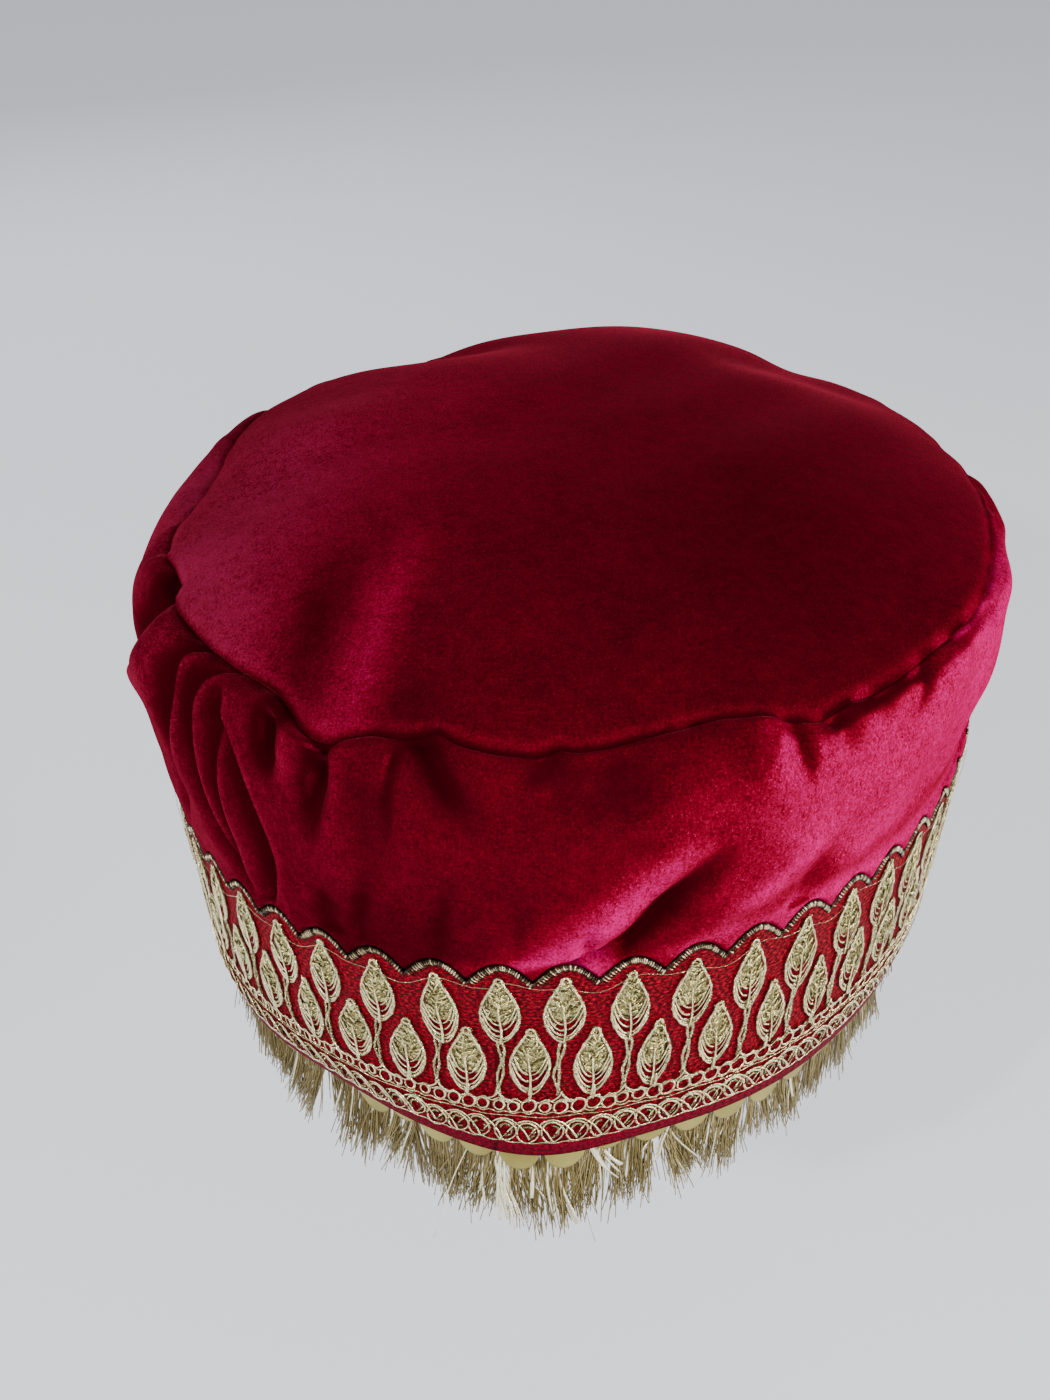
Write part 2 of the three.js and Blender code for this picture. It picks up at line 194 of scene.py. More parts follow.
# a cubic through four neighbouring rows, so sections change smoothly
def sectionAt(sections, place):
    last = len(sections) - 1
    index = np.clip(np.floor(place).astype(int), 0, last - 1)
    t = (place - index)[..., None]
    p0, p1, p2, p3 = (sections[np.clip(index + k, 0, last)] for k in (-1, 0, 1, 2))
    return p1 + 0.5 * t * (p2 - p0 + t * (2 * p0 - 5 * p1 + 4 * p2 - p3 + t * (3 * p1 - p0 - 3 * p2 + p3)))


# x is the shift plus half width times sine, y is minus the half depth times cosine, z rises along x
def oval(section, azimuth):
    a = np.radians(azimuth)
    s, c = np.sin(a), np.cos(a)
    depth = np.where(c > 0, section[..., 2], section[..., 3])
    x = section[..., 4] + section[..., 1] * s
    point = np.stack([x, -depth * c, section[..., 0] + section[..., 5] * x], -1)
    normal = unit(np.stack([s / section[..., 1], -c / depth, 0 * s], -1))
    return point, normal


# the sum of a table's column, each row weighted by its bell round the cap
def sumOf(data, column, azimuth):
    return sum(row[column] * bell(azimuth, row["azimuth"], row["width"]) for row in data)


# rises after the start and falls before the end, each over the same share of the way
def windowOf(height, start, end, share=0.35):
    fade = (end - start) * share
    return smooth(height, start, start + fade) * (1 - smooth(height, end - fade, end))


# exp of minus the squares of the distances along and across a turned oval, each over the oval's size
def ovalBell(dx, dy, angle, row):
    along = (dx * np.sin(angle) - dy * np.cos(angle)) / row["long"]
    across = (dx * np.cos(angle) + dy * np.sin(angle)) / row["wide"]
    return np.exp(-along ** 2 - across ** 2)


# each fold is a bell across its path, with a width to either side, faded in and out between its two heights;
# with paintedCrest, a painted highlight is summed instead: a bell beside the fold's sharp side
def foldDepth(azimuth, height, paintedCrest=False):
    total = np.zeros_like(azimuth)
    below = 1 - height
    for f in sideFolds:
        window = windowOf(height, f["start"], f["end"])
        turn = (azimuth - f["azimuth"] - f["lean"] * below - f["bow"] * below ** 2 + 180) % 360 - 180
        if paintedCrest:
            sharp = f["right"] if f["right"] < f["left"] else -f["left"]
            place = (turn - crestHighlightAt["beside"] * sharp) / (crestHighlightAt["wide"] * sharp)
            total += np.clip(f["depth"], 0, crestHighlightAt["deepest"]) * window * np.exp(-place ** 2)
        else:
            total += f["depth"] * window * np.exp(-(turn / np.where(turn < 0, f["left"], f["right"])) ** 2)
    return total


# fine gathers under the seam: a few cosines round the cap that fade downwards
def seamGathers(azimuth, height):
    a = np.radians(azimuth)
    wave = 0.5 * np.cos(31 * a + 1) + 0.5 * np.cos(47 * a + 2.2) + 0.3 * np.cos(67 * a)
    strength = 0.45 + 0.9 * bell(azimuth, -55, 34) + 0.7 * bell(azimuth, 52, 22)
    return wave * strength * smooth(height, 0.62, 0.97) * 0.55


# soft unevenness of the cloth: slow sines over the angle and the height
def slackness(azimuth, height):
    a = np.radians(azimuth)
    return (0.5 * np.sin(9 * a + 5 * height + 0.4) + 0.4 * np.sin(17 * a - 7 * height + 2)
            + 0.3 * np.sin(26 * a + 11 * height + 1)) * smooth(height, 0, 0.25) * (1 - smooth(height, 0.8, 1))


# the side panel: the oval at a height, moved by the seam's waves, then inwards by folds, gathers, tucks and pulls
def sidePoint(azimuth, height, inset=0.0, fine=1.0, tucked=1.0, folds=1.0):
    azimuth, height = np.broadcast_arrays(np.asarray(azimuth, float), np.asarray(height, float))
    rows = len(sideSections) - 1
    place = np.where(height < 0, height + 1, 1 + height * (rows - 1))
    point, normal = oval(sectionAt(sideSections, place), azimuth)
    near = smooth(height, seamTurn["start"], 1)
    leans = normal * (1 - seamTurn["less"] * near)[..., None]
    leans[..., 2] = near * seamTurn["up"]
    leans = unit(leans)
    point = point + normal * (sumOf(seamWaves, "out", azimuth) * near)[..., None]
    point[..., 2] += sumOf(seamWaves, "up", azimuth) * near
    share = smooth(height, -0.3, -0.05) * (1 - 0.6 * smooth(height, 0.9, 1))
    inwards = folds * foldDepth(azimuth, height) * share
    inwards = inwards + fine * (seamGathers(azimuth, height) - slackness(azimuth, height))
    inwards = inwards + fine * seamPinch["depth"] * np.exp(-((1 - height) / seamPinch["reach"]) ** 2)
    tuck = seamTuck["depth"] * bell(azimuth, seamTuck["azimuth"], seamTuck["width"])
    inwards = inwards + fine * tucked * tuck * smooth(height, seamTuck["start"], seamTuck["full"])
    for p in wallPulls:
        window = smooth(height, p["start"], p["full"]) * (1 - smooth(height, p["ease"], p["end"]))
        inwards = inwards + fine * p["depth"] * bell(azimuth, p["azimuth"], p["width"]) * window
    return point - leans * (inset + inwards)[..., None]


# the top panel: the seam's oval shrunk towards the middle and lifted by one minus the reach to a power, plus dents
def topPoint(azimuth, reach, inset=0.0, fine=1.0):
    azimuth, reach = np.broadcast_arrays(np.asarray(azimuth, float), np.asarray(reach, float))
    ends = np.ones_like(azimuth)
    edge = sidePoint(azimuth, ends, fine=0.0)
    calm = sidePoint(azimuth, ends, fine=0.0, tucked=0.0, folds=0.0)
    frill = sidePoint(azimuth, ends, fine=fine, tucked=0.0) - edge
    seam = sideSections[-1]
    middle = np.array([seam[4], 0, seam[0]])
    plain, normal = oval(np.broadcast_to(seam, azimuth.shape + (6,)), azimuth)
    waves, folds, frills = ((reach ** topPowers[k])[..., None] for k in ("waves", "folds", "frill"))
    point = middle + (plain - middle) * reach[..., None] + (calm - plain) * waves
    point = point + (edge - calm) * folds + frill * frills
    point[..., 2] += dome["rise"] * (1 - reach ** dome["power"])
    for d in topDents:
        centre = middle + (oval(seam, np.array(d["azimuth"]))[0] - middle) * d["reach"]
        angle = np.radians(d["azimuth"] + d["turn"])
        dx, dy = point[..., 0] - centre[0], point[..., 1] - centre[1]
        point[..., 2] += d["rise"] * ovalBell(dx, dy, angle, d) * (1 - reach ** topPowers["waves"])
    x, y = point[..., 0], point[..., 1]
    ripple = 0.35 * np.sin(x / 9 + y / 23) * np.sin(y / 13 - x / 31 + 1) + 0.18 * np.sin(x / 5.1 - y / 7.3)
    point[..., 2] += fine * ripple * (1 - reach ** 8)
    outwards = normal * (dome["out"] * reach ** 3)[..., None]
    outwards[..., 2] = dome["up"]
    return point - unit(outwards) * inset


# the band: a straight slope between its two sections, whose lower part swings out or in
def bandPoint(azimuth, y, lift=0.0):
    azimuth, y = np.broadcast_arrays(np.asarray(azimuth, float), np.asarray(y, float))
    h = y / bandHeight
    point, normal = oval(bandSections[0] + (bandSections[1] - bandSections[0]) * h[..., None], azimuth)
    low = np.clip(1 - h, 0, 1.06) ** 4
    point = point + normal * (sumOf(rimSwings, "out", azimuth) * low + lift)[..., None]
    point[..., 2] -= sumOf(rimSwings, "drop", azimuth) * low
    return point


# the distance walked along a path: its steps added up
def walked(path):
    steps = np.linalg.norm(np.diff(path, axis=-2), axis=-1)
    return np.concatenate([0 * steps[..., :1], np.cumsum(steps, -1)], -1)


# azimuth by distance along the band at mid height, from the front
walkAzimuth = np.linspace(-180, 180, 2881)
walkLength = walked(bandPoint(walkAzimuth, midHeight))
girth = walkLength[-1]
walkLength = walkLength - np.interp(0, walkAzimuth, walkLength)
scallops = 49
pitch = girth / scallops


# a point of the band by its distance along it and its height above the lower edge
def onBand(s, y, lift=0.0):
    around = (np.asarray(s, float) - walkLength[0]) % girth + walkLength[0]
    return bandPoint(np.interp(around, walkLength, walkAzimuth), y, lift)


noTris = np.zeros((0, 3), int)


# an object made from whole arrays of points in millimetres, with its cloth coordinates and its tone, which on the
# velvet is mostly painted light
def meshObject(name, points, quads, tris=noTris, uv=None, tone=None):
    loops = np.concatenate([quads.ravel(), tris.ravel()]).astype(np.int32)
    totals = np.concatenate([np.full(len(quads), 4), np.full(len(tris), 3)]).astype(np.int32)
    starts = np.concatenate([[0], np.cumsum(totals)[:-1]]).astype(np.int32)
    mesh = bpy.data.meshes.new(name)
    mesh.vertices.add(len(points))
    mesh.vertices.foreach_set("co", (np.asarray(points) * mm).astype(np.float32).ravel())
    mesh.loops.add(len(loops))
    mesh.loops.foreach_set("vertex_index", loops)
    mesh.polygons.add(len(totals))
    mesh.polygons.foreach_set("loop_start", starts)
    mesh.polygons.foreach_set("loop_total", totals)
    mesh.polygons.foreach_set("use_smooth", np.ones(len(totals), bool))
    if uv is not None:
        mesh.uv_layers.new(name="cloth").data.foreach_set("uv", np.asarray(uv, np.float32)[loops].ravel())
    if tone is not None:
        shade = mesh.attributes.new("tone", "FLOAT", "POINT")
        shade.data.foreach_set("value", np.asarray(tone, np.float32).ravel())
    mesh.update(calc_edges=True)
    return added(name, mesh)


# quads of a grid of points with the columns closed into a ring, and the rows too where asked
def ringQuads(rows, columns, closed=False):
    r, c = np.meshgrid(np.arange(rows if closed else rows - 1), np.arange(columns), indexing="ij")
    n = (c + 1) % columns
    here, above = r * columns, (r + 1) % rows * columns
    return np.stack([here + c, here + n, above + n, above + c], -1).reshape(-1, 4)


# a closed wall: outer rows upwards, then inner rows downwards, joined end to end
def wallObject(name, rings, uv, tone=None):
    rows, columns = rings.shape[:2]
    return meshObject(name, rings.reshape(-1, 3), ringQuads(rows, columns, True), uv=uv.reshape(-1, 2), tone=tone)


# faces of many stacks of rings: quads between neighbouring rings, and a fan over each open end
def stackFaces(n, k, sides, closed=False):
    i, j, m = np.meshgrid(np.arange(n), np.arange(k if closed else k - 1), np.arange(sides), indexing="ij")
    jn, mn = (j + 1) % k, (m + 1) % sides
    at = lambda a, b, c: (a * k + b) * sides + c
    quads = np.stack([at(i, j, m), at(i, j, mn), at(i, jn, mn), at(i, jn, m)], -1).reshape(-1, 4)
    if closed:
        return quads, noTris
    i, f = np.meshgrid(np.arange(n), np.arange(1, sides - 1), indexing="ij")
    first = np.stack([at(i, 0, 0 * f), at(i, 0, f + 1), at(i, 0, f)], -1)
    end = np.stack([at(i, k - 1, 0 * f), at(i, k - 1, f), at(i, k - 1, f + 1)], -1)
    return quads, np.concatenate([first.reshape(-1, 3), end.reshape(-1, 3)])


# many tubes at once: each path gets a ring of corners at every point, and its ends are closed
def tubes(paths, normals, radius, sides=3, closed=False, tone=0.5, flat=1.0):
    n, k = paths.shape[:2]
    if closed:
        along = unit(np.roll(paths, -1, 1) - np.roll(paths, 1, 1))
    else:
        along = unit(np.gradient(paths, axis=1))
    across = unit(np.cross(along, normals))
    upright = np.cross(across, along) * flat
    angle = np.arange(sides) * tau / sides + 0.3
    r = np.broadcast_to(np.asarray(radius, float), (n, k))[..., None, None]
    ring = across[:, :, None] * np.cos(angle)[:, None] + upright[:, :, None] * np.sin(angle)[:, None]
    points = paths[:, :, None] + r * ring
    quads, tris = stackFaces(n, k, sides, closed)
    shade = np.repeat(np.broadcast_to(np.asarray(tone, float), (n, k)).ravel(), sides)
    return dict(points=points.reshape(-1, 3), quads=quads, tris=tris, tone=shade)


# joins what several builders made into one object
def joinParts(name, parts):
    starts = np.cumsum([0] + [len(part["points"]) for part in parts])
    points = np.concatenate([part["points"] for part in parts])
    quads = np.concatenate([part["quads"] + start for part, start in zip(parts, starts)])
    tris = np.concatenate([part["tris"] + start for part, start in zip(parts, starts)])
    return meshObject(name, points, quads, tris, tone=np.concatenate([part["tone"] for part in parts]))


# paths drawn on the band in millimetres along it and above its lower edge, with the band's normals
def drawn(s, y, lift):
    return onBand(s, y, lift), unit(onBand(s, y, lift + 1.0) - onBand(s, y, lift))


# two strands that wind round a path on the band
def twisted(s, y, lift, strand, turn, tone):
    path, normal = drawn(s, y, lift)
    across = unit(np.cross(unit(np.gradient(path, axis=1)), normal))
    made = []
    for half in (0, np.pi):
        angle = (tau * walked(path) / turn + half)[..., None]
        wound = path + strand * 0.9 * (across * np.cos(angle) + normal * np.sin(angle))
        made.append(tubes(wound, normal, strand, tone=tone))
    return made


random = np.random.default_rng(7)


# shader maths: a socket with operators, each of which adds a Math node
class Socket:
    def __init__(self, tree, socket):
        self.tree, self.socket = tree, socket

    # one output of a new node with these settings and inputs
    def out(self, kind, output=0, settings=None, **inputs):
        made = self.tree.nodes.new(kind)
        for key, value in (settings or {}).items():
            setattr(made, key, value)
        link(made, **inputs)
        return Socket(self.tree, made.outputs[output])

    # this value and another through a Math node
    def math(self, operation, other=0.0):
        return self.out("ShaderNodeMath", 0, dict(operation=operation), i0=self, i1=other)

    def __add__(self, other):
        return self.math("ADD", other)

    def __mul__(self, other):
        return self.math("MULTIPLY", other)

    def __sub__(self, other):
        return self.math("SUBTRACT", other)

    def __rsub__(self, other):
        return (self * -1.0) + other

    # a smooth step between two values
    def between(self, low, high):
        step = dict(interpolation_type="SMOOTHSTEP")
        return self.out("ShaderNodeMapRange", 0, step, Value=self, From_Min=low, From_Max=high)

    # from the first colour to the second as the value goes from 0 to 1
    def mix(self, first, second):
        return self.out("ShaderNodeMix", 2, dict(data_type="RGBA"), i0=self, i6=first, i7=second)


# a material, an empty socket that adds its nodes, and its shader
def newMaterial(name):
    material = bpy.data.materials.new(name)
    material.use_nodes = True
    tree = material.node_tree
    shader = tree.nodes["Principled BSDF"]
    return material, Socket(tree, None), shader


# gives a node's inputs, by name or by number after an i, a socket, a colour or a number
def link(node, **values):
    for key, value in values.items():
        place = node.inputs[int(key[1:]) if key[1:].isdigit() else key.replace("_", " ")]
        if isinstance(value, Socket):
            value.tree.links.new(value.socket, place)
        else:
            place.default_value = value + (1,) if place.type == "RGBA" else value


# noise of a size per unit of its coordinates
def noise(maker, vector, scale, detail=2.0, rough=0.5):
    return maker.out("ShaderNodeTexNoise", Vector=vector, Scale=scale, Detail=detail, Roughness=rough)


# noise drawn out along one cloth coordinate
def streaks(maker, cloth, scale, detail, rough):
    return noise(maker, maker.out("ShaderNodeMapping", Vector=cloth, Scale=scale), 1.0, detail, rough)


# velvet: deep red in painted shade to hot pink where painted lit, by the tone, broken up by a fine grain and painted
# fibre glints, with a painted cool sheen towards the left
def velvetMaterial():
    material, maker, shader = newMaterial("velvet")
    place = maker.out("ShaderNodeTexCoord", "Object")
    tone = maker.out("ShaderNodeAttribute", "Fac", dict(attribute_name="tone"))
    cloth = maker.out("ShaderNodeUVMap", 0, dict(uv_map="cloth"))
    rows = streaks(maker, cloth, (2.2, 0.7, 1.0), 3.0, 0.7)
    grain = noise(maker, place, 2000.0, 3.0, 0.75) * 0.65 + rows * 0.35
    brush = noise(maker, place, 60.0, 3.0, 0.6)
    mottle = noise(maker, place, 380.0, 3.0, 0.65)
    # painted glints of single fibres, stronger where the tone is lit
    paintedFibreGlint = noise(maker, place, 2600.0, 1.0, 0.5).between(0.6, 0.8)
    paintedLightAndPile = tone + (grain - 0.5) * (tone * 3.6 + 0.55) + paintedFibreGlint * (tone * 1.5 + 0.1)
    paintedLightAndPile = paintedLightAndPile + (mottle - 0.5) * (tone * 0.7 + 0.2) + (brush - 0.5) * (tone * 0.5 + 0.2)
    # the tone, mostly painted light, picks shaded and lit copies of the red: near black, deep red and hot pink
    ground = paintedLightAndPile.between(-0.15, 0.65).mix((0.034, 0.0006, 0.0026), (0.2, 0.002, 0.013))
    ground = paintedLightAndPile.between(0.35, 1.75).mix(ground, (0.53, 0.0, 0.135))
    # a painted cool sheen on the left half, where the cooler fill light falls, growing with the tone
    left = (maker.out("ShaderNodeSeparateXYZ", 0, Vector=place) * -1.0).between(0.0, 0.08)
    ground = (left * paintedLightAndPile.between(0.0, 0.7) * 0.6).mix(ground, (0.2, 0.016, 0.05))
    bump = maker.out("ShaderNodeBump", Strength=0.35, Distance=0.0004, Height=grain)
    link(shader, Base_Color=ground, Roughness=0.9, Normal=bump, Specular_IOR_Level=0.0)
    link(shader, Sheen_Weight=0.2, Sheen_Roughness=0.3, Sheen_Tint=(1.0, 0.07, 0.15))
    return material


# ribbon: rows of weft dashes in brick order, from sines of the two cloth coordinates in millimetres
def ribbonMaterial():
    material, maker, shader = newMaterial("redTrim")
    cloth = maker.out("ShaderNodeUVMap", 0, dict(uv_map="cloth"))
    s, y = (maker.out("ShaderNodeSeparateXYZ", k, Vector=cloth) for k in (0, 1))
    patch = noise(maker, cloth, 0.5, 2.0)
    fleck = noise(maker, cloth, 1.7, 2.0, 0.6)
    thread = streaks(maker, cloth, (1.5, 2.9, 1.0), 2.0, 0.6)
    rowHigh, dashLong, hemHigh = 0.8, 1.7, 1.9
    row = (y * (1 / rowHigh)).math("FLOOR")
    ridge = (y * (np.pi / rowHigh)).math("SINE").math("ABSOLUTE")
    offset = ((row * 12.99).math("SINE") * 437.6).math("FRACT")
    dash = ((s * (1 / dashLong) + offset + fleck * 0.5) * tau).math("SINE")
    weave = ridge * (dash * 0.5 + 0.5)
    tone = (weave * 0.3 + thread * 2.6 + fleck * 0.6 + patch * 0.3 - 1.5).between(0.0, 1.0)
    hem = (hemHigh - y).between(0.0, 0.3)
    red = tone.mix((0.045, 0.0, 0.003), (0.38, 0.004, 0.016))
    red = hem.mix(red, thread.between(0.3, 0.7).mix((0.05, 0.0, 0.004), (0.19, 0.0, 0.014)))
    bump = maker.out("ShaderNodeBump", Strength=0.8, Distance=0.0003, Height=weave)
    link(shader, Base_Color=red, Roughness=0.6, Normal=bump, Specular_IOR_Level=0.05)
    return material


# metal-wrapped thread: champagne to olive by the strand's tone and a fine speckle that is partly a random tone and
# partly painted glints, with fine wraps
def threadMaterial(name, dark, bright, rough, metal, speckle, relief):
    material, maker, shader = newMaterial(name)
    tone = maker.out("ShaderNodeAttribute", "Fac", dict(attribute_name="tone"))
    place = maker.out("ShaderNodeTexCoord", "Object")
    speck = noise(maker, place, 2800.0, 2.0, 0.6)
    # the speckle mixes painted glints into the colour along with the strand's tone
    gold = (tone + (speck - 0.5) * speckle).between(0.1, 0.95).mix(dark, bright)
    bump = maker.out("ShaderNodeBump", Strength=relief, Distance=0.0003, Height=speck)
    link(shader, Base_Color=gold, Metallic=metal, Roughness=rough, Normal=bump)
    return material


# discs: dull gold with faint blots
def discMaterial():
    material, maker, shader = newMaterial("goldDisc")
    place = maker.out("ShaderNodeTexCoord", "Object")
    blot = noise(maker, place, 160.0, 2.0)
    gold = blot.between(0.3, 0.7).mix((0.27, 0.225, 0.055), (0.35, 0.30, 0.085))
    link(shader, Base_Color=gold, Metallic=0.55, Roughness=0.42)
    return material


velvet = velvetMaterial()
redTrim = ribbonMaterial()
metalThread = threadMaterial("metalThread", dark=(0.09, 0.068, 0.016), bright=(0.9, 0.8, 0.46),
                             rough=0.09, metal=0.97, speckle=1.5, relief=1.0)
fillThread = threadMaterial("fillThread", dark=(0.12, 0.094, 0.022), bright=(0.95, 0.86, 0.43),
                            rough=0.17, metal=0.95, speckle=1.9, relief=1.0)
edgeThread = threadMaterial("edgeThread", dark=(0.04, 0.023, 0.01), bright=(0.9, 0.74, 0.46),
                            rough=0.2, metal=0.88, speckle=1.2, relief=0.6)
fringeThread = threadMaterial("fringeThread", dark=(0.19, 0.14, 0.04), bright=(0.84, 0.71, 0.35),
                              rough=0.4, metal=0.3, speckle=0.5, relief=0.3)
tinselThread = threadMaterial("tinselThread", dark=(0.3, 0.24, 0.1), bright=(1.0, 0.94, 0.68),
                              rough=0.25, metal=0.55, speckle=0.4, relief=0.25)
goldDisc = discMaterial()
print("materials made")


# gives a piece its material, lets it ride on the root body and names the nodes that it replaces
def finishPiece(piece, material, slot, *nodes):
    piece.data.materials.append(material)
    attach(piece, "root")
    if nodes:
        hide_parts(*nodes)
    return piece


# painted light on the velvet: brighter where the cloth turns to the lower right, where the key light falls, with
# painted shade in its creases and brushed marks, painted highlights and painted shade on the top and the side
paintedLight = dict(towards=unit(np.array([0.87, -0.46, 0.1])), low=0.66, high=1.0, ground=0.13, gain=0.8, creaseShade=0.045)
# brushed marks of the pile together with painted highlights and painted shade on the top: x, y, length, width, turn
# and amount
topPileAndLightMarks = table("x y long wide turn amount", [
    [-25, -82, 14, 5, -7, 0.34],
    [-22.5, -62, 16, 4, -6, 0.24],
    [-14, -86, 6, 7, 0, -0.12],
    [-57, -55, 30, 9, 30, 0.36],
    [-52, -20, 34, 17, 15, 0.28],
    [-35, -68, 16, 5.5, -8, -0.2],
    [-40, 20, 50, 26, 0, 0.16],
    [45, -30, 60, 40, 0, -0.12],
])
# brushed marks together with painted highlights on lit fold flanks and the lit right side and painted shade in
# puckers and hollows: azimuth, lean, width, amount, start and end heights
sidePileAndLightMarks = table("azimuth lean width amount start end", [
    [34.7, -28, 3.2, 0.9, -0.3, 0.5],
    [52, -27, 4, 0.4, -0.3, 0.46],
    [32, -28, 6, 0.3, -0.45, 0.36],
    [40, -28, 2.2, -0.25, -0.3, 0.42],
    [-50, 0, 18, -0.02, -0.7, 1.5],
    [-50, 0, 12, 0.12, -0.7, 0.6],
    [-52, 0, 7, -0.22, 0.4, 1.3],
    [-90, 0, 16, 0.3, 0.4, 1.4],
    [-28.5, 0, 2, -0.45, 0.6, 1.05],
    [6, 0, 22, -0.02, 0.1, 1],
    [-15, 0, 18, -0.13, -0.6, 0.3],
    [80, 0, 18, 0.2, -0.2, 1.3],
    [76, 0, 16, 0.5, 0.6, 1.4],
    [46, 0, 8, -0.25, 0.7, 1.2],
    [47, 0, 14, 0.3, -0.3, 0.4],
    [35.3, 0, 1.1, 0.22, 0.6, 1.1],
    [-16.8, 0, 2, 0.06, 0.25, 0.65],
    [-2.5, 0, 3, 0.06, 0.82, 1.1],
    [31.5, -5, 2.2, 0.25, 0.55, 1.05],
])


# normals of a closed grid: the step round it crossed with the step along it
def gridNormals(points):
    return unit(np.cross(np.roll(points, -1, 1) - np.roll(points, 1, 1), np.gradient(points, axis=0)))


# painted light: a ground, and a gain where the cloth turns to the lit side
def paintedLitSide(points):
    return paintedLight["ground"] + paintedLight["gain"] * smooth(gridNormals(points) @ paintedLight["towards"], paintedLight["low"], paintedLight["high"])


# top panel
top = dict(columns=440, rows=100, innerRows=8, wall=1.5, crowd=1.15, hole=0.005)
rim = dict(light=0.12, lightAt=0.982, lightWide=0.008, dark=0.3, darkWide=0.006)
insideTone, middleTone = 0.05, 0.15
azimuth = np.arange(top["columns"]) * 360 / top["columns"]
reach = 1 - np.linspace(0, 1, top["rows"]) ** top["crowd"] * (1 - top["hole"])
reach[1:3] = 0.997, 0.99
outer = topPoint(azimuth[None], reach[:, None])
innerReach = np.linspace(top["hole"], 1, top["innerRows"])
inner = topPoint(azimuth[None], innerReach[:, None], top["wall"], 0.0)
rings = np.concatenate([inner, outer])
columns = top["columns"]
# painted light on the top panel where it turns to the lit side
tone = paintedLitSide(outer)
# the top's brushed marks and painted highlights and shade
for m in topPileAndLightMarks:
    dx, dy = outer[..., 0] - m["x"], outer[..., 1] - m["y"]
    tone = tone + m["amount"] * ovalBell(dx, dy, np.radians(m["turn"]), m)
# a lighter line just inside the top's edge, and painted shade at the seam itself
light = rim["light"] * np.exp(-((reach - rim["lightAt"]) / rim["lightWide"]) ** 2)
dark = rim["dark"] * np.exp(-((1 - reach) / rim["darkWide"]) ** 2)
tone = np.concatenate([np.full(inner.shape[:2], insideTone), tone + (light - dark)[:, None]]).ravel()
tone = np.concatenate([tone, [middleTone, insideTone]])
uv = np.stack([rings[..., 0], rings[..., 1]], -1)
middle = [topPoint(np.zeros(1), np.zeros(1)), topPoint(np.zeros(1), np.zeros(1), top["wall"], 0.0)]
points = np.concatenate([rings.reshape(-1, 3)] + middle)
rows = len(rings)
c = np.arange(columns)
n = (c + 1) % columns
quads = ringQuads(rows, columns)
lastRow = (rows - 1) * columns
tris = np.concatenate([
    np.stack([lastRow + c, lastRow + n, np.full(columns, rows * columns)], -1),
    np.stack([n, c, np.full(columns, rows * columns + 1)], -1),
])
flat = np.concatenate([uv.reshape(-1, 2), np.zeros((2, 2))])
crownTop = finishPiece(meshObject("crownTop", points, quads, tris, flat, tone), velvet, "velvet", "crown_top")
print("top panel made")

# the band's ribbon has scallops along its top
band = dict(columns=scallops * 14, rows=18, wall=0.5, scallop=3.6, edge=0.5, first=-1.2, top=36.7)


# the top less the scallop's depth times one minus the size of a cosine
def scallopTop(s):
    return band["top"] - band["scallop"] * (1 - np.abs(np.cos(np.pi * (s - band["first"]) / pitch)))


# side panel, with its columns closer together at the front; its lowest part swells over the band's edge
# and its last row is a seam allowance under the top panel
side = dict(columns=940, rows=80, skip=4, wall=1.5, closer=20.0, swell=2.7, dark=0.3, darkWide=0.025)
azimuth = np.arange(side["columns"]) * 360 / side["columns"]
azimuth = azimuth - side["closer"] * np.sin(np.radians(azimuth))
azimuth = (azimuth + 180) % 360 - 180
height = np.concatenate([[-1, -0.6], np.linspace(-0.4, 1, side["rows"]), [1]])
grid = np.broadcast_arrays(azimuth[None], height[:, None])
outer = sidePoint(*grid)
outer[-1] = topPoint(azimuth, 0.98, 0.35)
edgeY = scallopTop(np.interp(azimuth, walkAzimuth, walkLength))
edge = bandPoint(azimuth, edgeY)
rise = outer[..., 2] - edge[None, :, 2]
swell = side["swell"] * (0.6 * smooth(rise, -2.5, -0.3) + 0.4 * smooth(rise, -0.3, 0.7))
swell = swell * (1 - smooth(height, 0.02, 0.25))[:, None]
outer = outer + swell[..., None] * (bandPoint(azimuth, edgeY, 1.0) - edge)[None]
inner = (outer - side["wall"] * gridNormals(outer))[::side["skip"]][::-1]
even = sidePoint(*grid, fine=0.0)
folded = foldDepth(*grid)
# painted highlights beside the folds' sharp sides, only on the left
crestHighlights = foldDepth(*grid, paintedCrest=True) * (1 - smooth(azimuth, -30, -10))[None]
right = smooth(azimuth, 0, 30)[None]
low = np.argmax(height > 0.1)
# painted light where the side turns to the lit side, plus painted highlights beside the folds' crests
tone = 0.3 * right * paintedLitSide(outer) + (1 - 0.3 * right) * paintedLitSide(even) + 0.05 * crestHighlights
# painted shade in the folds' hollows and painted light on their outward ridges, stronger towards the left
tone = tone - paintedLight["creaseShade"] * (3 - 2 * right) * np.clip(folded, -2, 5)
# the side's brushed marks and painted highlights and shade
for m in sidePileAndLightMarks:
    window = windowOf(height, m["start"], m["end"])[:, None]
    centre = m["azimuth"] + m["lean"] * (1 - height[:, None])
    tone = tone + m["amount"] * window * bell(azimuth[None], centre, m["width"])
# the lowest rows, tucked behind the band's edge, keep at least most of the painted light of the row above
tone[:low] = np.maximum(tone[:low], 0.8 * tone[low])
